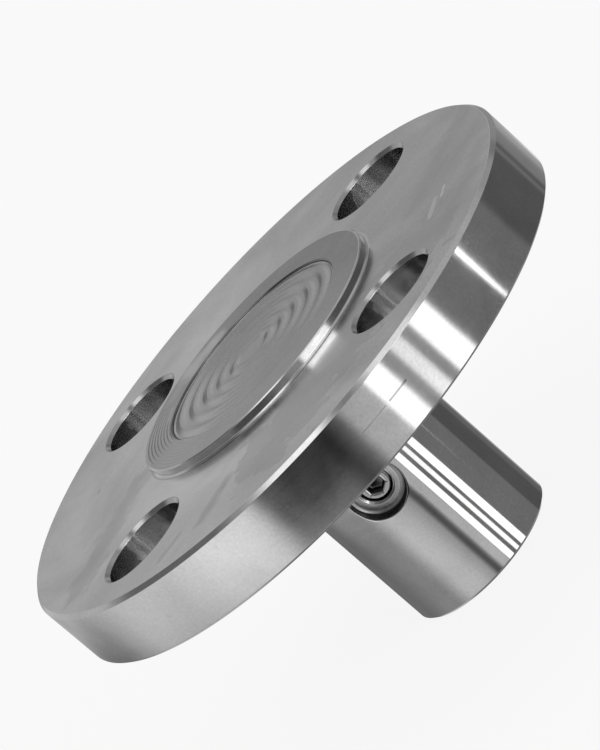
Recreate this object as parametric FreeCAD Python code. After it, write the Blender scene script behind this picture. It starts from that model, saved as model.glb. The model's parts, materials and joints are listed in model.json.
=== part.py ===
import FreeCAD, Part

import math
import os

# Flanged diaphragm seal for a pressure gauge. Every length is in millimetres.
# The Z axis is the axis of turning. The origin is the centre of the boss's free end,
# and +Z points out of the process face. The bolt holes straddle the X and Y axes.

# Flange
flange_diameter = 108.0
flange_thickness = 12.1
rim_front_bevel = 0.7
rim_back_bevel = 0.4
raised_face_diameter = 50.8
raised_face_height = 1.6

# Bolt holes
bolt_circle_diameter = 79.4
bolt_count = 4
bolt_hole_diameter = 15.9
bolt_hole_chamfer = 0.6
first_bolt_angle = 45.0

# Diaphragm foil, pressed into rings about a flat centre
foil_diameter = 37.6
foil_thickness = 0.1
foil_rim_width = 0.3
foil_centre_diameter = 4.8
wave_count = 5
wave_depth = 0.3

# Bed under the foil
foil_edge_gap = 0.05
crest_setback = 0.05
fluid_gap = 0.2
passage_diameter = 3.0

# Gauge boss
boss_diameter = 29.2
boss_length = 38.8
boss_end_chamfer = 0.5
spigot_diameter = 18.0
spigot_length = 3.0
spigot_side_gap = 0.05
spigot_end_gap = 0.1
weld_leg = 1.8

# Gauge socket, a parallel pipe thread of half an inch drawn at its minor diameter
gauge_thread_minor_diameter = 18.631
gauge_mouth_chamfer = 1.3
gauge_socket_floor = 3.1

# Fill port, on a radius of the boss
fill_port_angle = -93.3
fill_port_setback = 13.7
spotface_diameter = 10.4
spotface_depth = 2.5
fill_thread_diameter = 6.0
fill_thread_chamfer = 0.35
fill_drill_diameter = 2.0

# Fill screw and the soft disc under it
screw_side_gap = 0.05
screw_length = 5.0
screw_setback = 0.25
screw_chamfer = 0.55
socket_across_flats = 3.0
socket_depth = 2.4
disc_thickness = 1.0
disc_side_gap = 0.1

# Levels along Z
flange_back = boss_length
flange_front = flange_back + flange_thickness
sealing_plane = flange_front + raised_face_height
foil_rim_top = sealing_plane - crest_setback - wave_depth
foil_rim_bottom = foil_rim_top - foil_thickness
bed_level = foil_rim_bottom - fluid_gap
fill_port_level = flange_back - fill_port_setback
gauge_socket_depth = fill_port_level - fill_thread_diameter / 2 - gauge_socket_floor

# Radii that follow from the sizes above
passage_radius = passage_diameter / 2
foil_radius = foil_diameter / 2
wave_zone_start = foil_centre_diameter / 2
wave_zone_end = foil_radius - foil_rim_width
wave_pitch = (wave_zone_end - wave_zone_start) / wave_count
recess_radius = foil_radius + foil_edge_gap

# Stations along the fill port, counted from the boss's axis
spotface_floor = boss_diameter / 2 - spotface_depth
screw_top = spotface_floor - screw_setback
screw_tip = screw_top - screw_length
fill_thread_floor = screw_tip - disc_thickness


def turned(points, axis=FreeCAD.Vector(0, 0, 1)):
    """The solid that a closed profile of corners sweeps out about an axis through the origin."""
    corners = [FreeCAD.Vector(across, 0, up) for across, up in points]
    profile = Part.Face(Part.makePolygon(corners + corners[:1]))
    return profile.revolve(FreeCAD.Vector(0, 0, 0), axis, 360)


def on_bolt_circle(shape):
    """Copies of a shape, one at each bolt."""
    reach = bolt_circle_diameter / 2
    copies = []
    for index in range(bolt_count):
        angle = first_bolt_angle + 360.0 * index / bolt_count
        copy = shape.copy()
        copy.translate(FreeCAD.Vector(reach, 0, 0))
        copy.rotate(FreeCAD.Vector(0, 0, 0), FreeCAD.Vector(0, 0, 1), angle)
        copies.append(copy)
    return copies


def along_fill_port(shape):
    """A shape made about the X axis, moved to the fill port."""
    placed = shape.copy()
    placed.rotate(FreeCAD.Vector(0, 0, 0), FreeCAD.Vector(0, 0, 1), fill_port_angle)
    placed.translate(FreeCAD.Vector(0, 0, fill_port_level))
    return placed


def bolt_hole_cutter():
    """A drilled hole, chamfered on the process side."""
    radius = bolt_hole_diameter / 2
    mouth = radius + bolt_hole_chamfer
    return turned([
        (0, flange_back),
        (radius, flange_back),
        (radius, flange_front - bolt_hole_chamfer),
        (mouth, flange_front),
        (0, flange_front),
    ])


def make_flange():
    """Flange, raised face, recess and bed, turned in one piece and drilled."""
    rim = flange_diameter / 2
    raised = raised_face_diameter / 2
    socket_radius = spigot_diameter / 2 + spigot_side_gap
    socket_floor = flange_back + spigot_length + spigot_end_gap
    blank = turned([
        (passage_radius, socket_floor),
        (socket_radius, socket_floor),
        (socket_radius, flange_back),
        (rim - rim_back_bevel, flange_back),
        (rim, flange_back + rim_back_bevel),
        (rim, flange_front - rim_front_bevel),
        (rim - rim_front_bevel, flange_front),
        (raised, flange_front),
        (raised, sealing_plane),
        (recess_radius, sealing_plane),
        (recess_radius, foil_rim_bottom),
        (wave_zone_end, foil_rim_bottom),
        (wave_zone_end, bed_level),
        (passage_radius, bed_level),
    ])
    return blank.cut(on_bolt_circle(bolt_hole_cutter()))


def make_diaphragm():
    """Foil with its rings raised on the process side. The side that faces the bed is plain."""
    points = [(0, foil_rim_bottom), (0, foil_rim_top), (wave_zone_start, foil_rim_top)]
    for index in range(wave_count):
        valley = wave_zone_start + index * wave_pitch
        points.append((valley + wave_pitch / 2, foil_rim_top + wave_depth))
        points.append((valley + wave_pitch, foil_rim_top))
    points.append((foil_radius, foil_rim_top))
    points.append((foil_radius, foil_rim_bottom))
    return turned(points)


def fill_port_cutter():
    """Spotface, tapped hole and cross drilling, as one stepped tool."""
    spotface = spotface_diameter / 2
    thread = fill_thread_diameter / 2
    drill = fill_drill_diameter / 2
    clear = boss_diameter / 2 + 1
    return along_fill_port(turned([
        (0, 0),
        (0, drill),
        (fill_thread_floor, drill),
        (fill_thread_floor, thread),
        (spotface_floor - fill_thread_chamfer, thread),
        (spotface_floor, thread + fill_thread_chamfer),
        (spotface_floor, spotface),
        (clear, spotface),
        (clear, 0),
    ], FreeCAD.Vector(1, 0, 0)))


def make_gauge_boss():
    """Boss with its spigot, weld fillet, gauge socket and passage, cross drilled for filling."""
    outer = boss_diameter / 2
    spigot = spigot_diameter / 2
    thread = gauge_thread_minor_diameter / 2
    blank = turned([
        (passage_radius, gauge_socket_depth),
        (passage_radius, flange_back + spigot_length),
        (spigot, flange_back + spigot_length),
        (spigot, flange_back),
        (outer + weld_leg, flange_back),
        (outer, flange_back - weld_leg),
        (outer, boss_end_chamfer),
        (outer - boss_end_chamfer, 0),
        (thread + gauge_mouth_chamfer, 0),
        (thread, gauge_mouth_chamfer),
        (thread, gauge_socket_depth),
    ])
    return blank.cut(fill_port_cutter())


def hexagon_prism(across_flats, start, end):
    """A six-sided bar along X between two stations."""
    corner = across_flats / math.sqrt(3)
    points = []
    for index in range(7):
        angle = math.radians(60 * index)
        points.append(FreeCAD.Vector(start, corner * math.cos(angle), corner * math.sin(angle)))
    return Part.Face(Part.makePolygon(points)).extrude(FreeCAD.Vector(end - start, 0, 0))


def make_fill_screw():
    """Set screw with a hexagon socket, drawn at its outer diameter."""
    body = fill_thread_diameter / 2 - screw_side_gap
    face = body - screw_chamfer
    blank = turned([
        (screw_tip, 0),
        (screw_tip, face),
        (screw_tip + screw_chamfer, body),
        (screw_top - screw_chamfer, body),
        (screw_top, face),
        (screw_top, 0),
    ], FreeCAD.Vector(1, 0, 0))
    socket = hexagon_prism(socket_across_flats, screw_top - socket_depth, screw_top)
    return along_fill_port(blank.cut(socket))


def make_seal_disc():
    """Soft disc that the screw presses on the floor of the tapped hole, over the drilling."""
    radius = fill_thread_diameter / 2 - disc_side_gap
    disc = Part.makeCylinder(
        radius, disc_thickness, FreeCAD.Vector(fill_thread_floor, 0, 0), FreeCAD.Vector(1, 0, 0))
    return along_fill_port(disc)


def main():
    os.makedirs("parts", exist_ok=True)
    pieces = {
        "flange": make_flange(),
        "diaphragm": make_diaphragm(),
        "gauge_boss": make_gauge_boss(),
        "fill_screw": make_fill_screw(),
        "seal_disc": make_seal_disc(),
    }
    for name, shape in pieces.items():
        solids = shape.Solids
        print(name, "solids", len(solids), "valid", shape.isValid(), "volume", round(shape.Volume, 2))
        body = solids[0] if len(solids) == 1 else Part.makeCompound(solids)
        body.exportStep("parts/" + name + ".step")


main()
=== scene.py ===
# %% [markdown]
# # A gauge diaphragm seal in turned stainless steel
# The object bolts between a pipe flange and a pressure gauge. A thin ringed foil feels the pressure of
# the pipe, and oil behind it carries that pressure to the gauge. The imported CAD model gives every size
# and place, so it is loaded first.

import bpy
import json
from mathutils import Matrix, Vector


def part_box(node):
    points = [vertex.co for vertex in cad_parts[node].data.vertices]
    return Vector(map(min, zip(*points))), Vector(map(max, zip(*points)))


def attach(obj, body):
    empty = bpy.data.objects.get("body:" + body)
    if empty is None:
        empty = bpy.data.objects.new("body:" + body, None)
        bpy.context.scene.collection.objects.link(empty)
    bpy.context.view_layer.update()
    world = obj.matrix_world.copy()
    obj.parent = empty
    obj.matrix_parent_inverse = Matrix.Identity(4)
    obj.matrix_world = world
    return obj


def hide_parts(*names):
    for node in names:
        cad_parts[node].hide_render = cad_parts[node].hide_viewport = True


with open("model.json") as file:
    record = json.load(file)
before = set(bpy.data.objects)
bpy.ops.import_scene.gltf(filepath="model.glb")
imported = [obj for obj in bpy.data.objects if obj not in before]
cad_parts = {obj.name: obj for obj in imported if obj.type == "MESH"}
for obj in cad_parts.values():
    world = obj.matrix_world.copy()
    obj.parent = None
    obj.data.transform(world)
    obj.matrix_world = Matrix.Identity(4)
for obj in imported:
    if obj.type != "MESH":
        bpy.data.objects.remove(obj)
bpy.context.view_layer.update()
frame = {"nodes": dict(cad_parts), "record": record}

# %% [markdown]
# ## Sizes
# Blender counts in metres, but a part like this is easier in millimetres. So profiles are written in
# millimetres, and one factor turns them into metres. Sizes that the frame holds are read from it, and
# only small things that it leaves plain get values of their own.

# %% Read sizes from the frame
import json
from math import acos, atan2, ceil, cos, degrees, pi, radians, sin, sqrt, tan, tau

import bmesh
import bpy
import numpy as np
from mathutils import Quaternion, Vector

MM = 0.001
scene = bpy.context.scene


def node_points(node):
    """The points of a CAD node, in millimetres."""
    vertices = frame["nodes"][node].data.vertices
    flat = np.empty(3 * len(vertices))
    vertices.foreach_get("co", flat)
    return flat.reshape(-1, 3) / MM


def reach(node, low, high):
    """The greatest distance from the Z axis that a node has between two levels."""
    points = node_points(node)
    inside = points[(points[:, 2] > low) & (points[:, 2] < high)]
    return float(np.hypot(inside[:, 0], inside[:, 1]).max())


mounts = {row["name"]: row for row in frame["record"]["mounts"]}
bolts = mounts["flange_bolts"]
rim_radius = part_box("flange")[1].x / MM
flange_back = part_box("flange")[0].z / MM
sealing_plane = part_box("flange")[1].z / MM
flange_front = 2 * bolts["pos_m"][2] / MM - flange_back
raised_radius = reach("flange", flange_front + 0.2, sealing_plane + 0.2)
bolt_reach = bolts["dims"]["pcd_mm"] / 2
bolt_hole_radius = bolts["dims"]["hole_r_mm"]
bolt_count = bolts["dims"]["count"]
bolt_angles = radians(45) + tau * np.arange(bolt_count) / bolt_count
foil_radius = reach("diaphragm", 0, sealing_plane)
foil_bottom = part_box("diaphragm")[0].z / MM
print("flange", rim_radius, flange_back, flange_front, sealing_plane, raised_radius)

# %% [markdown]
# ## A lathe in code
# Nearly every face of this part was turned. Rings made by hand can be joined to holes and flat faces, so
# the result is one closed skin. Real corners are never quite sharp: each gets a small arc, and a support
# point on each side keeps the smooth shading of the arc out of the flat faces.

# %% Ease a profile
SUPPORT = 0.03
ARC_STEP = radians(22)


def eased(corners):
    """A profile whose inner corners (radius, height, easing) are rounded, with support points."""
    places = [np.array(corner[:2], float) for corner in corners]
    points = [places[0]]
    for before, here, after, corner in zip(places, places[1:], places[2:], corners[1:]):
        back, ahead = before - here, after - here
        room = 0.49 * min(np.linalg.norm(back), np.linalg.norm(ahead)) - SUPPORT
        back /= np.linalg.norm(back)
        ahead /= np.linalg.norm(ahead)
        turn = acos(max(-1.0, min(1.0, float(-back @ ahead))))
        tangent = min(corner[2] * tan(turn / 2), room)
        easing = tangent / tan(turn / 2)
        start, end = here + back * tangent, here + ahead * tangent
        middle = here + (back + ahead) / np.linalg.norm(back + ahead) * easing / cos(turn / 2)
        steps = max(2, ceil(turn / ARC_STEP))
        points.append(start + back * SUPPORT)
        for share in np.arange(steps + 1) / steps:
            from_start = sin((1 - share) * turn) / sin(turn)
            from_end = sin(share * turn) / sin(turn)
            points.append(middle + (start - middle) * from_start + (end - middle) * from_end)
        points.append(end + ahead * SUPPORT)
    return points + [places[-1]]


# %% [markdown]
# A ring is a list of points, and rings with as many points are bridged by quads. A point on the axis
# closes a skin with triangles. Flat faces with holes are filled from their border rings.

# %% Rings, bridges and fills


def polar(radius, angle, height):
    """A place at a distance from the Z axis, in the direction of an angle."""
    return (radius * cos(angle), radius * sin(angle), height)


def circle(radius, height, count, start=0.0):
    """Places round the Z axis. On the axis there is only one."""
    if radius < 1e-6:
        return [(0.0, 0.0, height)]
    return [polar(radius, angle, height) for angle in start + tau * np.arange(count) / count]


def ring(bm, places):
    """New points at places given in millimetres."""
    return [bm.verts.new(np.asarray(place, float) * MM) for place in places]


def finish_face(face, slot):
    """Shades a face smoothly, with one of its piece's materials."""
    face.smooth = True
    face.material_index = slot


def bridge(bm, rings, slot):
    """Faces between each ring and the next. A ring of one point is a pole."""
    for first, second in zip(rings, rings[1:]):
        count = max(len(first), len(second))
        for here in range(count):
            after = (here + 1) % count
            corners = [first[here % len(first)], first[after % len(first)]]
            corners += [second[after % len(second)], second[here % len(second)]]
            finish_face(bm.faces.new(list(dict.fromkeys(corners))), slot)


def spin(bm, outline, count, slot, start=0.0):
    """Rings of a profile of (radius, height) points, bridged."""
    rings = [ring(bm, circle(radius, height, count, start)) for radius, height in outline]
    bridge(bm, rings, slot)
    return rings


def fill_flat(bm, rings, slot):
    """A flat face between a border ring and the rings of its holes."""
    edges = []
    for loop in rings:
        for here, after in zip(loop, loop[1:] + loop[:1]):
            edges.append(bm.edges.get((here, after)) or bm.edges.new((here, after)))
    made = bmesh.ops.triangle_fill(bm, use_beauty=True, use_dissolve=False, edges=edges)
    for item in made["geom"]:
        if isinstance(item, bmesh.types.BMFace):
            finish_face(item, slot)


# %% [markdown]
# Each finished skin becomes an object that rides on the one body of this part and stands for its CAD
# node. Counting open edges shows at once whether it is closed.

# %% Turn a skin into a piece


def new_object(bm, name, materials):
    """An object in the scene, made from a skin."""
    mesh = bpy.data.meshes.new(name)
    bm.to_mesh(mesh)
    bm.free()
    for material in materials:
        mesh.materials.append(material)
    made = bpy.data.objects.new(name, mesh)
    scene.collection.objects.link(made)
    return made


def finish_piece(bm, name, node, materials):
    """A closed object on the body, in place of a CAD node."""
    bmesh.ops.recalc_face_normals(bm, faces=bm.faces)
    open_edges = sum(1 for edge in bm.edges if len(edge.link_faces) != 2)
    piece = new_object(bm, name, materials)
    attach(piece, "root")
    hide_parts(node)
    triangles = sum(len(face.vertices) - 2 for face in piece.data.polygons)
    print(name, "triangles", triangles, "open edges", open_edges)


# %% [markdown]
# ## Shader helpers
# A material is a small network of nodes. One helper adds a node and takes each input as a value or as
# another node's output. The rest are short names for nodes that come back often.

# %% Add nodes


def feed(tree, node, inputs):
    """Sets inputs of a node, each to a value or another node's output."""
    for socket, value in inputs.items():
        if isinstance(value, bpy.types.NodeSocket):
            tree.links.new(value, node.inputs[socket])
        else:
            node.inputs[socket].default_value = value


def add(tree, kind, inputs=None, **settings):
    """A new node with its settings and inputs."""
    made = tree.nodes.new(kind)
    made.location = (190 * (len(tree.nodes) % 12), -260 * (len(tree.nodes) // 12))
    for name, value in settings.items():
        setattr(made, name, value)
    feed(tree, made, inputs or {})
    return made


def calc(tree, kind, *values):
    """The result of a Math node."""
    return add(tree, "ShaderNodeMath", dict(enumerate(values)), operation=kind).outputs[0]


def vector_calc(tree, kind, *vectors):
    """The result of a Vector Math node, a vector or a number."""
    made = add(tree, "ShaderNodeVectorMath", dict(enumerate(vectors)), operation=kind)
    return made.outputs["Value" if kind in ("LENGTH", "DISTANCE", "DOT_PRODUCT") else "Vector"]


def ramp(tree, value, low, high, start=0, end=1, easing="LINEAR"):
    """A value carried from one range to another, and held there."""
    return add(tree, "ShaderNodeMapRange", {
        "Value": value, "From Min": low, "From Max": high, "To Min": start, "To Max": end,
    }, interpolation_type=easing).outputs[0]


def between(tree, share, first, second):
    """A number between two others."""
    return add(tree, "ShaderNodeMix", {0: share, 2: first, 3: second}, data_type="FLOAT").outputs[0]


def tint(tree, share, first, second):
    """A colour between two others, where a single number is a grey."""
    ends = [(tone, tone, tone, 1) if isinstance(tone, float) else tone for tone in (first, second)]
    return add(tree, "ShaderNodeMix", {0: share, 6: ends[0], 7: ends[1]}, data_type="RGBA").outputs[2]


# %% [markdown]
# Most effects start from noise that is read at the place on the part, so they stay put when the camera
# moves. An effect that several materials use is a group.

# %% Noise and groups


def place_on_part(tree):
    return add(tree, "ShaderNodeTexCoord").outputs["Object"]


def noise(tree, place, scale, detail, roughness=0.5, distortion=0):
    return add(tree, "ShaderNodeTexNoise", {
        "Vector": place, "Scale": scale, "Detail": detail, "Roughness": roughness, "Distortion": distortion,
    }).outputs["Fac"]


def swing(tree, value, amount):
    """Noise moved to lie about zero, and made stronger or weaker."""
    return calc(tree, "MULTIPLY", calc(tree, "SUBTRACT", value, 0.5), amount)


def new_group(name, inputs, output):
    """A node group and its inputs, where three numbers are a vector."""
    tree = bpy.data.node_groups.new(name, "ShaderNodeTree")
    for label, value in inputs.items():
        kind = "NodeSocketVector" if isinstance(value, tuple) else "NodeSocketFloat"
        tree.interface.new_socket(label, in_out="INPUT", socket_type=kind).default_value = value
    tree.interface.new_socket(output, in_out="OUTPUT", socket_type="NodeSocketFloat")
    return tree, tree.nodes.new("NodeGroupInput").outputs


def close_group(tree, result):
    """The group, with its result led out."""
    add(tree, "NodeGroupOutput", {0: result})
    print("group", tree.name, "with", len(tree.nodes), "nodes")
    return tree


def use_group(tree, group, inputs=None):
    """The output of a group that is placed in a tree."""
    return add(tree, "ShaderNodeGroup", inputs, node_tree=group).outputs[0]


# %% [markdown]
# ## Turning lines
# A cutting tool leaves fine rings round the axis. Noise that is read by radius and height gives them
# without the seam of a wrapped texture. The direction round the axis goes in very softly, so that a line
# fades in and out as it goes round.

# %% Group: turning lines
tree, entry = new_group("Turning lines", {"Across": 3000, "Along": 3000, "Waver": 1.5}, "Lines")
place = place_on_part(tree)
outward = vector_calc(tree, "MULTIPLY", place, (1, 1, 0))
facing = add(tree, "ShaderNodeSeparateXYZ", {0: vector_calc(tree, "NORMALIZE", outward)}).outputs
height = add(tree, "ShaderNodeSeparateXYZ", {0: place}).outputs["Z"]
read_at = add(tree, "ShaderNodeCombineXYZ", {
    "X": calc(tree, "MULTIPLY", vector_calc(tree, "LENGTH", outward), entry["Across"]),
    "Y": calc(tree, "MULTIPLY", height, entry["Along"]),
    "Z": calc(tree, "MULTIPLY", facing["X"], entry["Waver"]),
}).outputs[0]
lines = add(tree, "ShaderNodeTexNoise", {
    "Vector": read_at, "W": calc(tree, "MULTIPLY", facing["Y"], entry["Waver"]),
    "Scale": 1, "Detail": 3, "Roughness": 0.6,
}, noise_dimensions="4D").outputs["Fac"]
turning_lines = close_group(tree, lines)

# %% [markdown]
# ## Rubbed patches
# Handled stainless steel shows soft clouds, lighter where it was wiped and darker where a film of oil is
# left. The contrast of plain noise is raised, so that patches have a shape and don't look like fog.

# %% Group: rubbed patches
tree, entry = new_group("Rubbed patches", {"Scale": 60, "Contrast": 2}, "Patches")
turned_place = add(tree, "ShaderNodeVectorRotate", {"Vector": place_on_part(tree), "Angle": 0.5}).outputs[0]
clouds = noise(tree, turned_place, entry["Scale"], 4, 0.55, 0.6)
raised = calc(tree, "ADD", swing(tree, clouds, entry["Contrast"]), 0.5)
rubbed_patches = close_group(tree, add(tree, "ShaderNodeClamp", {"Value": raised}).outputs[0])

# %% [markdown]
# ## Hairline scratches
# Noise that is squeezed in one direction gives long cells. Only the narrow band where it crosses one
# value is kept, which draws long thin lines, and a second noise breaks them.

# %% Group: hairline scratches
tree, entry = new_group("Hairline scratches", {"Scale": 120, "Width": 0.012}, "Scratches")
place = place_on_part(tree)
turned_place = add(tree, "ShaderNodeVectorRotate", {"Vector": place, "Angle": 0.4}).outputs[0]
squeezed = vector_calc(tree, "MULTIPLY", turned_place, (1, 12, 1))
from_middle = calc(tree, "SUBTRACT", noise(tree, squeezed, entry["Scale"], 1, distortion=0.1), 0.5)
line = ramp(tree, calc(tree, "ABSOLUTE", from_middle), 0, entry["Width"], 1, 0)
kept = ramp(tree, noise(tree, place, 300, 1), 0.55, 0.7)
hairlines = close_group(tree, calc(tree, "MULTIPLY", line, kept))

# %% [markdown]
# ## Painted light on one side
# One half of a face is painted lighter and the other darker, as painted light and shade. A slope across
# the part gives the change, and noise makes its border wander.

# %% Group: painted light on one side
border_width = 0.044
border_wander = 0.07
tree, entry = new_group("Wiped side", {"Toward": (1, 0, 0)}, "Clean")
place = place_on_part(tree)
slope = vector_calc(tree, "DOT_PRODUCT", place, entry["Toward"])
wander = swing(tree, noise(tree, place, 35, 3, distortion=0.5), border_wander)
lighter_side = ramp(tree, calc(tree, "ADD", slope, wander), -border_width / 2, border_width / 2)
painted_side_light = close_group(tree, lighter_side)

# %% [markdown]
# ## Single marks and painted light
# Real smears and scratches, painted shade and painted highlights each lie at one place. A mark is all that
# lies near a line between two points, and noise bends its border. A very small width draws a scratch.

# %% Group: mark and painted light
raggedness = 2.5
tree, entry = new_group("Smear", {
    "Start": (0, 0, 0), "End": (0.01, 0, 0), "Half width": 0.001, "Softness": 0.5,
}, "Smear")
place = place_on_part(tree)
from_start = vector_calc(tree, "SUBTRACT", place, entry["Start"])
whole = vector_calc(tree, "SUBTRACT", entry["End"], entry["Start"])
covered = vector_calc(tree, "DOT_PRODUCT", from_start, whole)
share = calc(tree, "DIVIDE", covered, vector_calc(tree, "DOT_PRODUCT", whole, whole))
share = add(tree, "ShaderNodeClamp", {"Value": share}).outputs[0]
gap = vector_calc(tree, "DISTANCE", from_start, vector_calc(tree, "MULTIPLY", whole, share))
ragged = swing(tree, noise(tree, place, 300, 3), raggedness)
bent = calc(tree, "ADD", calc(tree, "DIVIDE", gap, entry["Half width"]), ragged)
inner = calc(tree, "SUBTRACT", 1, entry["Softness"])
outer = calc(tree, "ADD", 1, entry["Softness"])
mark_and_light_group = close_group(tree, ramp(tree, bent, inner, outer, 1, 0, "SMOOTHSTEP"))

# %% [markdown]
# ## Stainless steel finishes
# All the metal is one steel, worked in different ways: a finely turned rim mirrors the room, and a face
# that was rubbed down is satin. So one function makes them all, and the shader itself stays in each
# material.

# %% Make a steel finish
grain_scale = 2200
scratch_darkness = 0.6


def new_material(name):
    material = bpy.data.materials.new(name)
    material.use_nodes = True
    return material, material.node_tree, material.node_tree.nodes["Principled BSDF"]


def steel(name, greys, shine, lines, patches=(70, 2), painted_side=None, scratch=0, grain=0, marks_and_painted_light=()):
    """A steel between two greys and two roughnesses, with lines (across, along, depth), patches
    (scale, contrast) and painted side light (share, direction of the side that is painted lighter)."""
    material, tree, shader = new_material(name)
    clouds = use_group(tree, rubbed_patches, {"Scale": patches[0], "Contrast": patches[1]})
    turned = use_group(tree, turning_lines, {"Across": lines[0], "Along": lines[1]})
    tone = clouds
    if painted_side:
        # painted light and shade: one side of the face is made lighter, the other darker
        lighter_side = use_group(tree, painted_side_light, {"Toward": polar(1, radians(painted_side[1]), 0)})
        tone = between(tree, painted_side[0], clouds, lighter_side)
    if grain:
        tone = calc(tree, "ADD", tone, swing(tree, noise(tree, place_on_part(tree), grain_scale, 2), grain))
    colour = tint(tree, tone, *greys)
    # marks: real smears and scratches, painted shade and painted highlights
    for start, end, half_width, softness, strength, grey in marks_and_painted_light:
        placed_mark = use_group(tree, mark_and_light_group, {
            "Start": Vector(start) * MM, "End": Vector(end) * MM, "Half width": half_width * MM,
            "Softness": softness,
        })
        colour = tint(tree, calc(tree, "MULTIPLY", placed_mark, strength), colour, grey)
    if scratch:
        marks = calc(tree, "MULTIPLY", use_group(tree, hairlines), scratch)
        colour = tint(tree, marks, colour, greys[0] * scratch_darkness)
    worn = ramp(tree, between(tree, 0.5, clouds, turned), 0.25, 0.75, *shine)
    relief = add(tree, "ShaderNodeBump", {"Strength": 1, "Distance": lines[2] * MM, "Height": turned})
    feed(tree, shader, {"Metallic": 1, "Base Color": colour, "Roughness": worn, "Normal": relief.outputs[0]})
    return material


# %% [markdown]
# A row is one mark on a flat face: x and y of both ends, half its width, the softness of its border, its
# strength and its grey. Most rows are painted shade and painted highlights. In a bolt hole they are bands
# along the wall, so a row starts with the angle round the hole.

# %% Marks and painted light


def at_level(level, rows):
    """Smears at one height, from rows that start with x and y of both ends."""
    return [((x, y, level), (end_x, end_y, level), *rest) for x, y, end_x, end_y, *rest in rows]


# Painted shade in dark bands and spots on the front face; the two white streaks are painted highlights.
face_shade_and_highlights = at_level(flange_front, [
    (2, -40, 34, -22, 9.0, 0.12, 0.4, 0.36),
    (50, 17, 36, -4, 2.6, 0.8, 0.45, 0.36),
    (51, -5, 41, -24, 2.2, 0.8, 0.4, 0.36),
    (-28, -2, -43, -23, 3.2, 0.6, 0.4, 0.38),
    (-9, -38, -15, -43.5, 1.4, 0.9, 0.5, 0.38),
    (-20, -41, -24, -43, 0.7, 0.9, 0.4, 0.36),
    (42.4, -7.6, 41.4, -10.6, 0.3, 0.9, 0.5, 1.0),
    (40.2, -9, 38.4, -14.6, 0.5, 0.9, 0.35, 1.0),
    (-38.4, 10.4, -38.1, 11, 0.3, 0.4, 0.6, 0.3),
])
# Painted sheen: lighter patches on the sealing face.
seal_painted_sheen = at_level(sealing_plane, [
    (-8.8, 20.0, -13.6, 17.4, 2.4, 0.7, 0.6, 0.85),
    (-14.2, 18.2, -18.4, 13.2, 1.4, 0.8, 0.3, 0.7),
    (-18.6, 8.5, -19.5, 5, 0.4, 0.5, 0.5, 0.7),
])
rim_smears = at_level(flange_back + 6.4, [
    (23.7, -48.5, 20.2, -50.1, 0.16, 0.3, 0.8, 0.22),
    (19.2, -50.5, 14.1, -52.1, 0.1, 0.4, 0.5, 0.25),
])
# Painted light in each bolt hole, at the same angles in all four: two wide dark bands of painted shade and
# two thin white painted highlights.
hole_shade_and_highlights = [
    (158, 4.6, 0.1, 0.8, 0.2),
    (35, 5, 0.5, 0.7, 0.25),
    (119, 0.55, 0.5, 0.9, 1.0),
    (109, 0.3, 0.5, 0.8, 1.0),
]
hole_painted_light = []
for bolt_angle in bolt_angles:
    for turned, *rest in hole_shade_and_highlights:
        x, y, _ = np.add(polar(bolt_reach, bolt_angle, 0), polar(bolt_hole_radius, radians(turned), 0))
        hole_painted_light.append(((x, y, flange_back), (x, y, flange_front), *rest))
print("smears:", len(face_shade_and_highlights) + len(seal_painted_sheen) + len(rim_smears) + len(hole_painted_light))

# %% [markdown]
# The finishes follow the work on each surface: polished rim and boss, rubbed face, drilled holes, pressed
# foil, weld, and dark steel where a hollow hardly sees the room.

# %% Steel finishes
# Pairs such as (0.55, 178) are painted side light: share, and direction of the side painted lighter.
rim_steel = steel("rim_steel", (0.49, 0.67), (0.07, 0.115), (500, 9000, 0.0003),
                  scratch=0.3, grain=0.8, marks_and_painted_light=rim_smears)
face_steel = steel("face_steel", (0.4, 0.87), (0.17, 0.27), (2500, 2500, 0.001), (40, 2.6), (0.55, 178),
                   scratch=0.25, grain=0.5, marks_and_painted_light=face_shade_and_highlights)
edge_steel = steel("edge_steel", (0.36, 0.5), (0.1, 0.18), (1500, 1500, 0.001), (200, 2))
hole_steel = steel("hole_steel", (0.6, 0.76), (0.17, 0.24), (100, 1500, 0.0005), marks_and_painted_light=hole_painted_light)
seal_steel = steel("seal_steel", (0.22, 0.5), (0.1, 0.17), (6000, 6000, 0.0006), (45, 3), (0.7, 215),
                   grain=0.5, marks_and_painted_light=seal_painted_sheen)
# Painted shade: the wall and eased edge of the step round the foil are painted dark.
seam_steel = steel("seam_steel", (0.1, 0.26), (0.25, 0.4), (3000, 3000, 0.0005), (200, 2))
foil_steel = steel("foil_steel", (0.34, 0.53), (0.16, 0.26), (1200, 100, 0.002), (150, 2), (0.8, 195),
                   grain=0.7)
boss_steel = steel("boss_steel", (0.53, 0.68), (0.04, 0.07), (100, 5000, 0.0002), grain=0.8)
weld_steel = steel("weld_steel", (0.4, 0.6), (0.2, 0.4), (100, 100, 0.002), (500, 2))
port_steel = steel("port_steel", (0.5, 0.64), (0.1, 0.2), (4000, 4000, 0.001), (300, 2))
hollow_steel = steel("hollow_steel", (0.22, 0.36), (0.3, 0.4), (3000, 3000, 0.0005), (300, 2))
wall_steel = steel("wall_steel", (0.03, 0.1), (0.25, 0.4), (3000, 3000, 0.0005), (300, 2))
screw_steel = steel("screw_steel", (0.6, 0.75), (0.08, 0.18), (3000, 3000, 0.001), (300, 2))
# Painted shade: the hexagon socket's walls and floor are painted nearly black.
socket_steel = steel("socket_steel", (0.04, 0.3), (0.15, 0.3), (500, 500, 0.001), (500, 2))
print("materials:", len(bpy.data.materials))

# %% [markdown]
# ## The flange
# The flange was turned from one forging, with its raised face, and then drilled. Its outer and inner
# sides are spun apart. The two flat faces between them are filled last, with the four bolt holes left
# out, so that no Boolean is needed.

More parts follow.
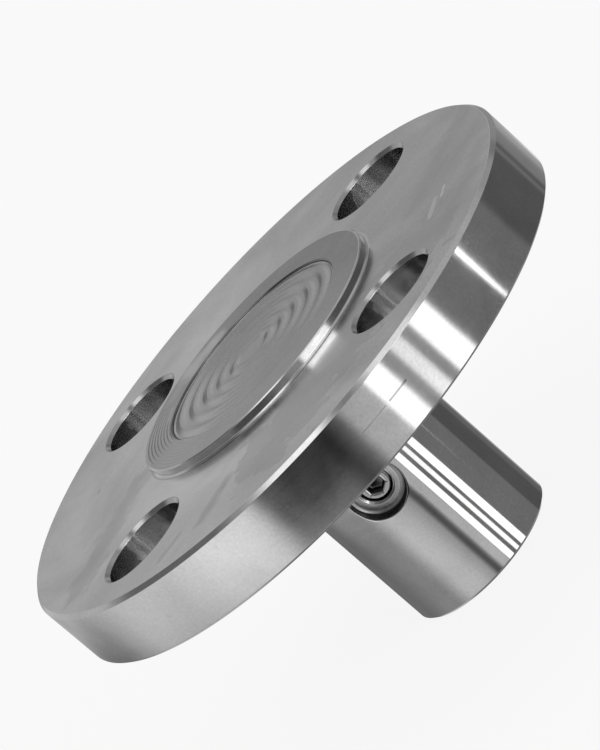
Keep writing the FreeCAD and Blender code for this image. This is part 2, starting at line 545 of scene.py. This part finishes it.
# %% Flange profiles
AROUND = 384
rim_front_bevel = 0.7
rim_back_bevel = 0.4
raised_edge_break = 0.2
raised_root_bevel = 0.3
raised_root_margin = 0.4
raised_top_margin = 0.2
foil_edge_gap = 0.05
foil_seat_width = 0.3
foil_seat_radius = foil_radius - foil_seat_width
foil_to_bed = 0.2
passage_radius = 1.5
spigot_radius = reach("gauge_boss", flange_back + 1, flange_back + 4)
spigot_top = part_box("gauge_boss")[1].z / MM
spigot_side_gap = 0.05
spigot_end_gap = 0.1
bed_level = foil_bottom - foil_to_bed
recess_radius = foil_radius + foil_edge_gap
recess_edge_break = 0.22
recess_margin = 0.1
plane_margin = 1.0

outer_side = eased([
    (rim_radius - rim_back_bevel - plane_margin, flange_back, 0),
    (rim_radius - rim_back_bevel, flange_back, 0.08),
    (rim_radius, flange_back + rim_back_bevel, 0.08),
    (rim_radius, flange_front - rim_front_bevel, 0.08),
    (rim_radius - rim_front_bevel, flange_front, 0.08),
    (rim_radius - rim_front_bevel - plane_margin, flange_front, 0),
])
raised_wall = eased([
    (raised_radius + raised_root_bevel + raised_root_margin, flange_front, 0),
    (raised_radius + raised_root_bevel, flange_front, 0.15),
    (raised_radius, flange_front + raised_root_bevel, 0.15),
    (raised_radius, sealing_plane - raised_edge_break, 0.06),
    (raised_radius - raised_edge_break, sealing_plane, 0.06),
    (raised_radius - raised_edge_break - raised_top_margin, sealing_plane, 0),
])
inner_side = eased([
    (recess_radius + recess_edge_break + recess_margin, sealing_plane, 0),
    (recess_radius + recess_edge_break, sealing_plane, 0.04),
    (recess_radius, sealing_plane - recess_edge_break, 0.04),
    (recess_radius, foil_bottom, 0.04),
    (foil_seat_radius, foil_bottom, 0.04),
    (foil_seat_radius, bed_level, 0.04),
    (passage_radius, bed_level, 0.1),
    (passage_radius, spigot_top + spigot_end_gap, 0.1),
    (spigot_radius + spigot_side_gap, spigot_top + spigot_end_gap, 0.1),
    (spigot_radius + spigot_side_gap, flange_back, 0.1),
    (spigot_radius + spigot_side_gap + plane_margin, flange_back, 0),
])
print("profile points", len(outer_side), len(raised_wall), len(inner_side))

# %% [markdown]
# The sealing face isn't smooth. A round-nosed tool was fed inward and left shallow scallops, whose depth
# follows from its nose radius and feed. Later the face was rubbed, more on one side than on the other, so
# they are only deep in one quarter.

# %% Scallops of the sealing face
tool_nose_radius = 1.6
scallop_count = 8
scallop_steps = 6
scallop_side = radians(198)
scallop_least = 0.12


def scallops(outside, inside):
    """Points across the sealing face, from its outer edge to the recess."""
    feed = (outside - inside) / scallop_count
    points = []
    for share in np.arange(scallop_count * scallop_steps + 1) / scallop_steps:
        from_middle = (share % 1.0 - 0.5) * feed
        depth = ((feed / 2) ** 2 - from_middle**2) / (2 * tool_nose_radius)
        points.append((outside - share * feed, depth))
    return points


def scallop_ring(bm, radius, depth):
    """A ring of the sealing face, deepest where it wasn't rubbed."""
    places = []
    for x, y, height in circle(radius, sealing_plane, AROUND):
        unrubbed = max(0.0, cos(atan2(y, x) - scallop_side))
        places.append((x, y, height - depth * (scallop_least + (1 - scallop_least) * unrubbed**3)))
    return ring(bm, places)


sealing_face = scallops(raised_wall[-1][0], inner_side[0][0])
print("scallop depth", round(max(depth for _, depth in sealing_face), 3), "mm")

# %% [markdown]
# Each bolt hole is a spun wall of its own, moved out to the bolt circle. Its chamfers end in rings
# that lie in the two flat faces.

# %% Build the flange
RIM, FACE, HOLE, SEAL, EDGE, STEP_SHADE = range(6)
bolt_hole_chamfer = 0.6
bolt_hole_margin = 0.15
hole_points = 96


def bolt_hole_rings(bm, angle):
    """The wall of one bolt hole, from back to front."""
    mouth = bolt_hole_radius + bolt_hole_chamfer
    wall = eased([
        (mouth + bolt_hole_margin, flange_back, 0),
        (mouth, flange_back, 0.05),
        (bolt_hole_radius, flange_back + bolt_hole_chamfer, 0.08),
        (bolt_hole_radius, flange_front - bolt_hole_chamfer, 0.08),
        (mouth, flange_front, 0.05),
        (mouth + bolt_hole_margin, flange_front, 0),
    ])
    rings = [ring(bm, circle(radius, height, hole_points)) for radius, height in wall]
    for step in range(len(wall) - 1):
        chamfered = max(wall[step][0], wall[step + 1][0]) > bolt_hole_radius + SUPPORT / 2
        bridge(bm, rings[step:step + 2], EDGE if chamfered else HOLE)
    middle = Vector(polar(bolt_reach, angle, 0)) * MM
    for loop in rings:
        for point in loop:
            point.co += middle
    return rings


def build_flange():
    bm = bmesh.new()
    rim_rings = spin(bm, outer_side[1:-1], AROUND, RIM)
    wall_rings = spin(bm, raised_wall, AROUND, RIM)
    scalloped = [scallop_ring(bm, radius, depth) for radius, depth in sealing_face[1:-1]]
    core_rings = spin(bm, inner_side, AROUND, SEAL)
    bridge(bm, [wall_rings[-1], *scalloped, core_rings[0]], SEAL)
    holes = [bolt_hole_rings(bm, angle) for angle in bolt_angles]
    for face in bm.faces:
        middle = face.calc_center_median() / MM
        outward = middle.xy.length - recess_radius
        # the step round the foil gets the painted shade
        if -SUPPORT < outward < recess_edge_break + SUPPORT and middle.z > flange_front:
            face.material_index = STEP_SHADE
    fill_flat(bm, [rim_rings[-1], wall_rings[0]] + [rings[-1] for rings in holes], FACE)
    fill_flat(bm, [rim_rings[0], core_rings[-1]] + [rings[0] for rings in holes], FACE)
    finish_piece(bm, "flange_turned", "flange",
                 [rim_steel, face_steel, hole_steel, seal_steel, edge_steel, seam_steel])


build_flange()

# %% [markdown]
# ## The diaphragm foil
# The foil is pressed into soft waves, so that it can move without stretching: a flat centre, five rounded
# rings and a rim under a fine weld bead. Real foil is never quite even, so a slow wave round the axis
# lifts each point a few microns.

# %% Build the foil
foil_thickness = 0.1
foil_centre_radius = 2.4
wave_count = 5
wave_depth = 0.3
wave_steps = 14
bead_radius = 18.63
bead_half_width = 0.13
bead_height = 0.08
bead_steps = 8
foil_easing = 0.02
foil_points = 256
foil_unevenness = 0.012


def foil_level(radius):
    """Height of the waves over the flat parts."""
    if not foil_centre_radius < radius < foil_seat_radius:
        return 0.0
    share = (radius - foil_centre_radius) / (foil_seat_radius - foil_centre_radius)
    return wave_depth * (0.5 - 0.5 * cos(tau * wave_count * share))


def foil_profile():
    """The closed section, from the axis over the top and back along the bottom."""
    top = foil_bottom + foil_thickness
    radii = list(np.linspace(foil_centre_radius, foil_seat_radius, wave_count * wave_steps + 1))
    over = [(0.0, top), (foil_centre_radius / 2, top)]
    over += [(radius, top + foil_level(radius)) for radius in radii]
    for angle in pi * np.arange(1, bead_steps) / bead_steps:
        over.append((bead_radius - bead_half_width * cos(angle), top + bead_height * sin(angle)))
    over += [(foil_radius - foil_easing, top), (foil_radius, top - foil_easing), (foil_radius, foil_bottom)]
    under = [(radius, foil_bottom + foil_level(radius)) for radius in radii[::-2]]
    return over + under + [(0.0, foil_bottom)]


def build_foil():
    bm = bmesh.new()
    spin(bm, foil_profile(), foil_points, 0)
    for point in bm.verts:
        angle = atan2(point.co.y, point.co.x)
        share = point.co.xy.length / MM / foil_radius
        wave = sin(3 * angle + 1) + 0.6 * sin(5 * angle + 9 * share)
        wave += 0.5 * sin(2 * angle - 7 * share)
        point.co.z += foil_unevenness * MM * wave * share * (1 - share**6)
    finish_piece(bm, "diaphragm_foil", "diaphragm", [foil_steel])


build_foil()

# %% [markdown]
# ## The fill port
# The oil goes in through a tapped hole in the side of the boss, which a set screw shuts. Its axis is read
# from the screw in the frame, and a small function places points along it.

# %% Port axis
screw_points = node_points("fill_screw")
screw_centre = (screw_points.min(0) + screw_points.max(0)) / 2
port_angle = atan2(screw_centre[1], screw_centre[0])
port_level = float(screw_centre[2])
screw_radius = float(screw_points[:, 2].max() - screw_points[:, 2].min()) / 2


def stations(node):
    """Where a node starts and ends along the port's axis."""
    points = node_points(node)
    along = points[:, 0] * cos(port_angle) + points[:, 1] * sin(port_angle)
    return float(along.min()), float(along.max())


def at_port(station, across, up):
    """A place given along the port's axis, sideways from it and above it."""
    turn_x, turn_y = cos(port_angle), sin(port_angle)
    return (station * turn_x - across * turn_y, station * turn_y + across * turn_x, port_level + up)


def port_ring(bm, station, radius, angles):
    """A ring round the port's axis. Station and radius may be functions of the angle."""
    places = []
    for angle in angles:
        out = radius(angle) if callable(radius) else radius
        along = station(angle) if callable(station) else station
        places.append(at_port(along, out * cos(angle), out * sin(angle)))
    return ring(bm, places)


screw_tip, screw_top = stations("fill_screw")
print("port at", round(degrees(port_angle), 2), "degrees, screw top at", round(screw_top, 2))

# %% [markdown]
# A round hole in a polished round wall is hard to cut well: a Boolean leaves long thin faces that dent
# the reflections. Here the wall is a grid with a rectangle of cells left out round the hole. Rings lead
# from the rectangle to the hole, with each point on the cylinder.

# %% Walls with a port
patch_columns = 64
patch_rows = 24
patch_shares = (0.25, 0.5, 0.75, 0.9, 1.0)


def patch_start(count):
    """Where the rings of a wall start, so that the patch lies round the port."""
    return port_angle - tau / count * (patch_columns // 2)


def ported_wall(bm, wall_radius, count, levels, half_height, hole_radius, slot):
    """A round wall with a hole at the port. Gives its end rings, the hole's ring and its angles."""
    rows = np.linspace(port_level - half_height, port_level + half_height, patch_rows + 1)
    heights = [levels[0], *rows, levels[1]]
    rings = [ring(bm, circle(wall_radius, height, count, patch_start(count))) for height in heights]
    for row, (lower, upper) in enumerate(zip(rings, rings[1:])):
        for column in range(count):
            if 0 < row < len(rings) - 2 and column < patch_columns:
                continue
            after = (column + 1) % count
            corners = (lower[column], lower[after], upper[after], upper[column])
            finish_face(bm.faces.new(corners), slot)
    border = [rings[1][column] for column in range(patch_columns)]
    border += [rings[row][patch_columns] for row in range(1, patch_rows + 1)]
    border += [rings[-2][column] for column in range(patch_columns, 0, -1)]
    border += [rings[row][0] for row in range(patch_rows + 1, 1, -1)]
    offsets = []
    for point in border:
        across = -point.co.x / MM * sin(port_angle) + point.co.y / MM * cos(port_angle)
        offsets.append((across, point.co.z / MM - port_level))
    angles = [atan2(up, across) for across, up in offsets]
    loops = [border]
    for share in patch_shares:
        places = []
        for (across, up), angle in zip(offsets, angles):
            wide = across + (hole_radius * cos(angle) - across) * share
            tall = up + (hole_radius * sin(angle) - up) * share
            places.append(at_port(sqrt(wall_radius**2 - wide**2), wide, tall))
        loops.append(ring(bm, places))
        bridge(bm, loops[-2:], slot)
    return rings[0], rings[-1], loops[-1], angles


# %% [markdown]
# ## The gauge boss
# The boss is bright turned bar, welded to the back of the flange. One skin makes all of it, so its sizes
# come first.

# %% Boss sizes
boss_radius = reach("gauge_boss", 5.0, 20.0)
weld_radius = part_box("gauge_boss")[1].x / MM
weld_leg = weld_radius - boss_radius
boss_end_chamfer = 0.5
gauge_mouth_chamfer = 1.3
gauge_port = mounts["gauge_port"]["dims"]
thread_minor_radius = gauge_port["r_mm"]
thread_major_radius = 10.4775
thread_pitch = 1.814
socket_depth = gauge_port["length_mm"] + gauge_mouth_chamfer
BOSS_AROUND = 480
SOCKET_AROUND = 144
PASSAGE_AROUND = 192
print("boss", boss_radius, weld_radius, "socket", thread_minor_radius, socket_depth)

# %% [markdown]
# A weld bead is laid in short steps, and each leaves a small crescent. A bump texture would do from far
# off, but the bead stands out in profile, so it is a height field on rings.

# %% Weld bead
weld_crescents = 80
weld_steps = 8
weld_bulge = 0.25
weld_ripple = 0.07
weld_unevenness = 0.04


def weld_rings(bm):
    """Rows of the bead from its toe on the flange to its toe on the boss."""
    rows = []
    for share in np.arange(weld_steps + 1) / weld_steps:
        places = []
        for angle in patch_start(BOSS_AROUND) + tau * np.arange(BOSS_AROUND) / BOSS_AROUND:
            crescent = abs(sin(angle * weld_crescents / 2 + 3.0 * (share - 0.5) ** 2))
            lift = weld_bulge + weld_ripple * crescent + weld_unevenness * sin(7 * angle)
            lift *= sin(pi * share) * sqrt(0.5)
            radius = weld_radius - weld_leg * share + lift
            places.append(polar(radius, angle, flange_back - weld_leg * share - lift))
        rows.append(ring(bm, places))
    return rows


# %% [markdown]
# The gauge screws into a parallel pipe thread in the end of the boss. It is a height field as well,
# climbs one pitch a turn, and fades out at both ends.

# %% Internal thread
steps_a_turn = 12


def thread_lift(turns):
    """Rounded thread form, from 0 at the crest of the bore to 1 at the root."""
    return 0.5 - 0.5 * cos(tau * turns)


def socket_rings(bm):
    """Rows up the gauge socket, from the mouth chamfer to the floor."""
    rows = []
    length = socket_depth - gauge_mouth_chamfer
    steps = round(length / thread_pitch * steps_a_turn)
    for step in range(steps + 1):
        height = gauge_mouth_chamfer + length * step / steps
        fade = min(1.0, step / steps_a_turn, (steps - step) / (1.5 * steps_a_turn))
        depth = (thread_major_radius - thread_minor_radius) * fade
        places = []
        for share in np.arange(SOCKET_AROUND) / SOCKET_AROUND:
            radius = thread_minor_radius + depth * thread_lift(height / thread_pitch - share)
            places.append(polar(radius, tau * share, height))
        rows.append(ring(bm, places))
    return rows


# %% [markdown]
# The skin goes up the bright wall and over the bead, round the end into the socket, through the passage,
# and in at the fill port. The spotface's wall and fillet mirror each other and lie in deep shade on the
# real part, so they get dark steels of their own.

# %% Build the boss
BRIGHT, BEAD, BORE, WALL, HOLLOW = range(5)
wall_margin = 0.1
end_margin = 0.3
wall_patch_half = 6.0
passage_patch_half = 1.25
spotface_radius = 5.2
spotface_depth = 2.5
spotface_edge = 0.06
spotface_fillet = 1.1
fillet_steps = 6
shaded_steps = 3
port_thread_radius = 3.0
port_thread_chamfer = 0.35
port_drill_radius = 1.0
port_thread_floor = stations("seal_disc")[0]


def spotface_lip(angle):
    """Station of the spotface's eased edge on the round wall."""
    return sqrt(boss_radius**2 - (spotface_radius * cos(angle)) ** 2) - spotface_edge


def port_section():
    """Stations and radii of the port, from the foot of the spotface's wall to the drilling."""
    floor = boss_radius - spotface_depth
    middle = spotface_radius - spotface_fillet
    fillet = [(floor + spotface_fillet * (1 - sin(turn)), middle + spotface_fillet * cos(turn))
              for turn in np.linspace(0, pi / 2, fillet_steps + 1)]
    return fillet + eased([
        (floor, middle, 0),
        (floor, port_thread_radius + port_thread_chamfer, 0.04),
        (floor - port_thread_chamfer, port_thread_radius, 0.04),
        (port_thread_floor, port_thread_radius, 0.1),
        (port_thread_floor, port_drill_radius, 0.1),
        (port_thread_floor - 1.0, port_drill_radius, 0),
    ])[1:]


def build_boss():
    bm = bmesh.new()
    lower, upper, mouth, angles = ported_wall(
        bm, boss_radius, BOSS_AROUND, (boss_end_chamfer + wall_margin, flange_back - weld_leg),
        wall_patch_half, spotface_radius + spotface_edge, BRIGHT)
    bead = weld_rings(bm)
    bridge(bm, [*bead, upper], BEAD)

    end_edge = eased([
        (boss_radius, boss_end_chamfer + wall_margin, 0),
        (boss_radius, boss_end_chamfer, 0.06),
        (boss_radius - boss_end_chamfer, 0.0, 0.06),
        (boss_radius - boss_end_chamfer - end_margin, 0.0, 0),
    ])
    start = patch_start(BOSS_AROUND)
    end_rings = [lower] + [ring(bm, circle(*point, BOSS_AROUND, start)) for point in end_edge[1:]]
    bridge(bm, end_rings, BRIGHT)

    mouth_edge = eased([
        (thread_minor_radius + gauge_mouth_chamfer + end_margin, 0.0, 0),
        (thread_minor_radius + gauge_mouth_chamfer, 0.0, 0.05),
        (thread_minor_radius, gauge_mouth_chamfer, 0.05),
        (thread_minor_radius, gauge_mouth_chamfer + wall_margin, 0),
    ])
    mouth_rings = spin(bm, mouth_edge[:-1], SOCKET_AROUND, BORE)
    thread = socket_rings(bm)
    bridge(bm, [mouth_rings[-1], *thread], BORE)
    fill_flat(bm, [end_rings[-1], mouth_rings[0]], BRIGHT)

    passage_low, passage_high, drill_end, _ = ported_wall(
        bm, passage_radius, PASSAGE_AROUND, (socket_depth, spigot_top),
        passage_patch_half, port_drill_radius, BORE)
    fill_flat(bm, [thread[-1], passage_low], BORE)

    spigot_rings = spin(bm, eased([
        (spigot_radius, flange_back, 0),
        (spigot_radius, spigot_top, 0.15),
        (spigot_radius - plane_margin, spigot_top, 0),
    ]), SOCKET_AROUND, BORE)
    fill_flat(bm, [spigot_rings[-1], passage_high], BORE)
    fill_flat(bm, [bead[0], spigot_rings[0]], BORE)

    port_rings = [mouth, port_ring(bm, spotface_lip, spotface_radius, angles)]
    port_rings += [port_ring(bm, station, radius, angles) for station, radius in port_section()]
    port_rings.append(drill_end)
    shaded, foot = 2 + shaded_steps, 2 + fillet_steps
    bridge(bm, port_rings[:2], BORE)
    bridge(bm, port_rings[1:shaded + 1], WALL)
    bridge(bm, port_rings[shaded:foot + 1], HOLLOW)
    bridge(bm, port_rings[foot:], BORE)
    finish_piece(bm, "boss_turned", "gauge_boss",
                 [boss_steel, weld_steel, port_steel, wall_steel, hollow_steel])


build_boss()

# %% [markdown]
# ## The fill screw
# A small set screw with a hexagon socket. One skin makes it: up the thread, across the top to the lip of
# the hexagon, down its walls and to the point of the drill that began the socket.

# %% Build the screw
SCREW_AROUND = 96
screw_thread_pitch = 1.0
screw_thread_depth = 0.5
screw_thread_steps = 50
screw_chamfer = 0.55
fade_steps = 8
hexagon_half = 1.5
hexagon_depth = 2.4
hexagon_lip = 0.2
socket_drill_radius = 1.2
socket_drill_point = 0.5


def hexagon(scale=1.0):
    """Distance from the axis to the side of the hexagon at each angle."""
    side = pi / 3
    return lambda angle: hexagon_half * scale / cos((angle + side / 2) % side - side / 2)


def thread_radius(station, fade):
    """Distance from the axis to the screw's thread at each angle."""
    return lambda angle: screw_radius - screw_thread_depth * fade * thread_lift(
        station / screw_thread_pitch - angle / tau)


def build_screw():
    bm = bmesh.new()
    angles = [tau * index / SCREW_AROUND for index in range(SCREW_AROUND)]
    face_radius = screw_radius - screw_chamfer
    low, high = screw_tip + screw_chamfer, screw_top - screw_chamfer
    outside = [ring(bm, [at_port(screw_tip, 0, 0)]), port_ring(bm, screw_tip, face_radius, angles)]
    for step in range(screw_thread_steps + 1):
        station = low + (high - low) * step / screw_thread_steps
        fade = min(1.0, step / fade_steps, (screw_thread_steps - step) / fade_steps)
        outside.append(port_ring(bm, station, thread_radius(station, fade), angles))
    top_section = eased([
        (high, screw_radius, 0),
        (screw_top, face_radius, 0.06),
        (screw_top, hexagon_half + 0.45, 0),
    ])[1:] + [(screw_top, hexagon(1.16)), (screw_top - hexagon_lip, hexagon())]
    outside += [port_ring(bm, station, radius, angles) for station, radius in top_section]
    floor = screw_top - hexagon_depth
    inside = [outside[-1]]
    socket = [(floor + 0.05, hexagon()), (floor, hexagon(0.96)), (floor, socket_drill_radius)]
    inside += [port_ring(bm, station, radius, angles) for station, radius in socket]
    inside.append(ring(bm, [at_port(floor - socket_drill_point, 0, 0)]))
    bridge(bm, outside, 0)
    # the socket takes the painted shade
    bridge(bm, inside, 1)
    finish_piece(bm, "set_screw", "fill_screw", [screw_steel, socket_steel])


build_screw()

# %% [markdown]
# ## The seal disc
# A soft white disc is squeezed between the screw and the floor of the tapped hole. The CAD node has the
# right shape already, so it only gets a material. Fluoroplastic is slightly cloudy.

# %% Disc material
disc_plastic, tree, disc_shader = new_material("disc_plastic")
clouds = use_group(tree, rubbed_patches, {"Scale": 600})
feed(tree, disc_shader, {
    "Subsurface Weight": 0.1, "Roughness": ramp(tree, clouds, 0, 1, 0.35, 0.5),
    "Base Color": tint(tree, clouds, (0.82, 0.82, 0.8, 1), (0.9, 0.9, 0.88, 1)),
})
seal_disc = frame["nodes"]["seal_disc"]
seal_disc.data.materials.clear()
seal_disc.data.materials.append(disc_plastic)
print("seal disc keeps its CAD mesh of", len(seal_disc.data.polygons), "faces")

# %% [markdown]
# ## The studio that the metal mirrors
# Polished steel has hardly any colour of its own: it shows the room. So the room is a world shader that
# gives a brightness for each direction. A group holds one studio card, a patch of even brightness with
# soft edges, and cards are laid over each other like sheets of paper. Azimuths count from the side that
# the photograph was taken from.

# %% Group: studio card
tree, entry = new_group("Studio card", {
    "Azimuth": 0, "Elevation": 0, "Behind": 0, "Middle": 0, "Half width": 10, "Side edge": 2,
    "Bottom": -30, "Top": 30, "Level edge": 4, "Brightness": 1,
}, "Light")


def soft_edge(value, limit, edge, start, end):
    """A change from start to end where a value passes a limit of the card."""
    low = calc(tree, "SUBTRACT", entry[limit], entry[edge])
    high = calc(tree, "ADD", entry[limit], entry[edge])
    return ramp(tree, value, low, high, start, end, "SMOOTHSTEP")


away = calc(tree, "SUBTRACT", entry["Azimuth"], entry["Middle"])
aside = calc(tree, "ABSOLUTE", calc(tree, "WRAP", away, 180, -180))
across = soft_edge(aside, "Half width", "Side edge", 1, 0)
above = soft_edge(entry["Elevation"], "Bottom", "Level edge", 0, 1)
below = soft_edge(entry["Elevation"], "Top", "Level edge", 1, 0)
covered = calc(tree, "MULTIPLY", across, calc(tree, "MULTIPLY", above, below))
studio_card = close_group(tree, between(tree, covered, entry["Behind"], entry["Brightness"]))

# %% [markdown]
# Each row is one card, in the order of the sockets below. Three white strips stand side by side with
# thin bars between them. Dark cards keep the steel from looking like chalk.

# %% Studio world
view_side = -76.4
card_sockets = ("Middle", "Half width", "Side edge", "Bottom", "Top", "Level edge", "Brightness")
studio_cards = [
    (-106, 76, 4, -27, -15.4, 0.6, 0.2),
    (-140, 42, 10, -15.6, 10, 0.7, 0.66),
    (-170, 17, 7, -15.7, -8, 0.7, 0.45),
    (-168, 13, 5, -27, -16.6, 0.4, 0.17),
    (-150, 30, 12, -56, -28, 5, 0.6),
    (-88, 34, 18, -17.2, 10, 0.5, 0.83),
    (-61, 19, 8, -17.3, 10, 0.5, 1),
    (-55, 14, 7, -17.3, -15.5, 0.4, 1.2),
    (-85, 30, 25, -40, -17.3, 0.4, 0.33),
    (-42, 22, 15, -40, -17.4, 0.4, 0.7),
    (-16, 18, 9, -17.5, 10, 0.3, 0.01),
    (-4, 5, 4, -40, -17.5, 0.3, 0.12),
    (9.3, 6.3, 2.3, -40, 30, 3, 0.64),
    (65, 14, 2, -40, 8, 3, 0.22),
    (89, 13, 2, -40, 8, 3, 0.22),
    (120.5, 20.5, 2, -40, 8, 3, 0.12),
    (134.3, 1.4, 1.2, -16.9, 8, 0.4, 0.24),
    (150, 10, 3, -40, 8, 3, 0.26),
    (161, 8, 4, -40, 8, 3, 0.4),
    (171, 7, 3, -40, -15.9, 0.8, 1.2),
    (149, 11, 5, -40, -17.1, 0.4, 0.17),
    (164, 6, 4, -40, -17.1, 0.4, 0.45),
    (-36, 22, 8, 3, 30, 5, 0.13),
    (-84, 26, 8, 3, 30, 5, 0.26),
    (-122, 16, 8, 5, 28, 4, 0.4),
    (103, 48, 6, 3, 30, 5, 0.17),
    (34, 18.5, 0.6, -40, 32, 3, 0.2),
    (34, 18.5, 0.6, -17.4, 32, 0.4, 0.4),
    (20.3, 4.4, 0.5, -35, 0, 6, 2),
    (33.5, 2.9, 0.5, -35, 0, 6, 1.3),
    (33.5, 2.9, 0.5, -35, -17.2, 0.4, 1.7),
    (46.5, 5, 0.5, -35, 0, 6, 2),
    (51.2, 1.2, 0.5, -40, -17.4, 0.4, 2),
    (34, 16, 0.5, 0, 32, 6, 3),
    (75, 0.9, 0.35, -16.9, -6, 0.4, 5),
    (180, 50, 20, -8, 9, 6, 0.32),
    (180, 50, 20, 24, 45, 6, 0.5),
    (148, 10, 5, 0, 20, 5, 0.33),
    (140, 22, 8, 24, 44, 6, 0.42),
    (163, 8, 4, 9, 40, 4, 0.66),
    (-150, 14, 6, -6, 20, 5, 0.64),
    (-134, 8, 5, 18, 30, 4, 0.62),
    (-162, 14, 10, 14.8, 30, 1.5, 0.6),
    (-173.5, 4, 3, 4, 14, 1, 0.14),
    (-105, 30, 15, 32, 61, 5, 0.18),
    (-35, 28, 12, 64, 80, 4, 1.5),
    (17, 10, 8, 60, 85, 4, 0.35),
    (60, 22, 10, 60, 80, 4, 1.2),
    (180, 95, 10, 64, 91, 4, 0.95),
    (0, 181, 1, 80, 91, 2, 0.95),
]

scene.world = bpy.data.worlds.new("studio")
scene.world.use_nodes = True
tree = scene.world.node_tree
looked_at = add(tree, "ShaderNodeTexCoord").outputs["Generated"]
direction = add(tree, "ShaderNodeSeparateXYZ", {0: looked_at}).outputs
around = calc(tree, "MULTIPLY", calc(tree, "ARCTAN2", direction["Y"], direction["X"]), degrees(1))
azimuth = calc(tree, "SUBTRACT", around, view_side)
elevation = calc(tree, "MULTIPLY", calc(tree, "ARCSINE", direction["Z"]), degrees(1))
from_floor = ramp(tree, elevation, -60, -36, 0.25, 0.42, "SMOOTHSTEP")
from_room = ramp(tree, elevation, 0, 40, 0, 0.12, "SMOOTHSTEP")
light = calc(tree, "ADD", from_floor, from_room)
for card in studio_cards:
    light = use_group(tree, studio_card, {
        "Azimuth": azimuth, "Elevation": elevation, "Behind": light, **dict(zip(card_sockets, card)),
    })
feed(tree, tree.nodes["Background"], {"Color": (1, 1, 1, 1), "Strength": light})
print("studio cards:", len(studio_cards))

# %% [markdown]
# ## Floor and backdrop
# The part stands on the free end of its boss, on a pale floor that curves up all round, spun as one bowl.
# Only the camera sees it, so the steel mirrors the studio below the horizon as well.

# %% Build the floor
floor_radius = 1600.0
bowl_radius = 900.0
bowl_height = 2200.0
paper_glow = 0.88

floor_paper, tree, paper = new_material("floor_paper")
feed(tree, paper, {"Base Color": (0.93, 0.93, 0.93, 1), "Roughness": 0.9, "Specular IOR Level": 0})
glow = add(tree, "ShaderNodeEmission", {"Color": (1, 1, 1, 1), "Strength": 1})
paths = add(tree, "ShaderNodeLightPath").outputs
seen_directly = calc(tree, "MAXIMUM", paths["Is Camera Ray"], paths["Is Glossy Ray"])
seen_directly = calc(tree, "MAXIMUM", seen_directly, paths["Is Transmission Ray"])
share = calc(tree, "MULTIPLY", seen_directly, paper_glow)
lifted = add(tree, "ShaderNodeMixShader", {0: share, 1: paper.outputs[0], 2: glow.outputs[0]})
feed(tree, tree.nodes["Material Output"], {"Surface": lifted.outputs[0]})

corner = [(floor_radius + bowl_radius * sin(turn), bowl_radius * (1 - cos(turn)))
          for turn in np.linspace(0, pi / 2, 13)]
bm = bmesh.new()
spin(bm, [(0, 0), (200, 0), *corner, (floor_radius + bowl_radius, bowl_height)], 96, 0)
studio_floor = new_object(bm, "floor", [floor_paper])
studio_floor.visible_glossy = False
studio_floor.visible_diffuse = False
studio_floor.visible_shadow = False
print("floor and backdrop", len(studio_floor.data.polygons), "faces")

# %% [markdown]
# ## The camera
# The photograph was taken with a long lens from in front and above, and then tilted, which is the same as
# rolling the camera. Its place and roll were solved from the outlines of the rim, the raised face, the
# holes and the boss.

# %% Camera
camera_place = Vector((144.082, -594.989, 214.009)) * MM
camera_target = Vector((1.947, 0.465, 43.394)) * MM
camera_roll = radians(48.793)
focal_pixels = 3908.92
long_side_pixels = 750
sensor_mm = 36.0

lens = bpy.data.cameras.new("camera")
lens.sensor_width = sensor_mm
lens.lens = focal_pixels * sensor_mm / long_side_pixels
lens.clip_start, lens.clip_end = 0.05, 20.0
camera = bpy.data.objects.new("camera", lens)
scene.collection.objects.link(camera)
view_line = (camera_target - camera_place).normalized()
camera.rotation_mode = "QUATERNION"
camera.rotation_quaternion = Quaternion(view_line, camera_roll) @ view_line.to_track_quat("-Z", "Y")
camera.location = camera_place
bpy.context.scene.camera = camera
print("lens", round(lens.lens, 2), "mm, distance", round((camera_target - camera_place).length, 4), "m")

# %% [markdown]
# ## Show colours as they are
# The Standard view keeps a grey as it was written.

# %% Finish
bpy.context.scene.view_settings.view_transform = "Standard"
